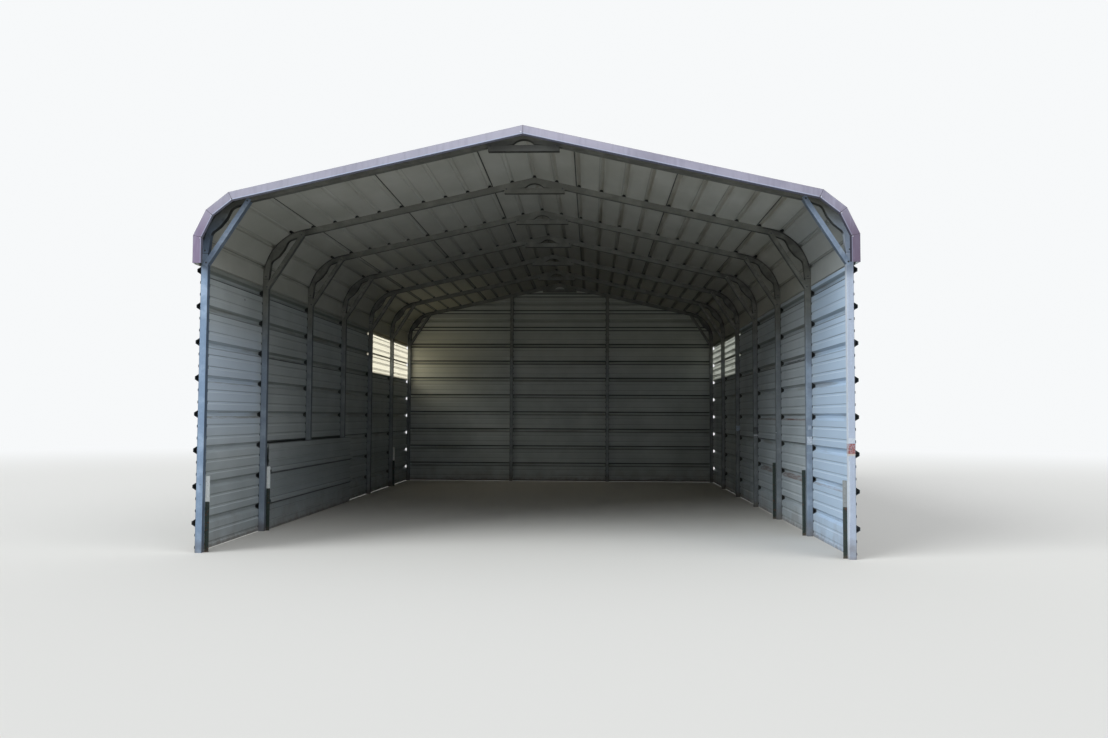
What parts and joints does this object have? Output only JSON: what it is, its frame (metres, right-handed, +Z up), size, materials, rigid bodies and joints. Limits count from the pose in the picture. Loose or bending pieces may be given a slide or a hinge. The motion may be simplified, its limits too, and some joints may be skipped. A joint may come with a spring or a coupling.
{
  "type": "carport",
  "caption": "Steel tube carport with rounded eaves, ribbed sheet roof and walls on three sides, open at the front, with corner braces and gable trim.",
  "frame": {"origin": "on the ground at the middle of the plan", "axes": "+Z up, the ridge along Y, the open front faces -Y"},
  "size_m": [5.555, 9.4508, 3.5802],
  "materials": {
    "galvanised_tube": "dull galvanised steel, weathered",
    "galvanised_channel": "dull galvanised steel, pressed",
    "roof_sheet": "off-white paint, satin, dusty",
    "wall_sheet": "off-white paint, satin, dirt streaks",
    "light_panel": "translucent ribbed plastic, cream",
    "trim": "faded plum paint",
    "anchor_post": "dark green paint with a white top"
  },
  "bodies": {
    "root": {"anchors_left": "anchor_post", "anchors_right": "anchor_post", "bow_1": "galvanised_tube", "bow_2": "galvanised_tube", "bow_3": "galvanised_tube", "bow_4": "galvanised_tube", "bow_5": "galvanised_tube", "bow_6": "galvanised_tube", "bow_7": "galvanised_tube", "corner_braces_left": "galvanised_channel", "corner_braces_right": "galvanised_channel", "eave_sheet_left": "roof_sheet", "eave_sheet_right": "roof_sheet", "gable_trim_front": "trim", "gable_trim_rear": "trim", "kick_sheet": "wall_sheet", "legs_1": "galvanised_tube", "legs_2": "galvanised_tube", "legs_3": "galvanised_tube", "legs_4": "galvanised_tube", "legs_5": "galvanised_tube", "legs_6": "galvanised_tube", "legs_7": "galvanised_tube", "light_panel_left": "light_panel", "light_panel_right": "light_panel", "low_wall_sheet_left": "wall_sheet", "low_wall_sheet_right": "wall_sheet", "lower_roof_sheet_left": "roof_sheet", "lower_roof_sheet_right": "roof_sheet", "middle_wall_sheet_left": "wall_sheet", "middle_wall_sheet_right": "wall_sheet", "peak_braces": "galvanised_channel", "rear_gable_sheet": "wall_sheet", "rear_low_sheet": "wall_sheet", "rear_middle_sheet": "wall_sheet", "rear_posts": "galvanised_tube", "rear_upper_sheet": "wall_sheet", "ridge_sheet": "roof_sheet", "top_wall_sheet_left": "wall_sheet", "top_wall_sheet_right": "wall_sheet", "upper_roof_sheet_left": "roof_sheet", "upper_roof_sheet_right": "roof_sheet"}
  },
  "joints": []
}
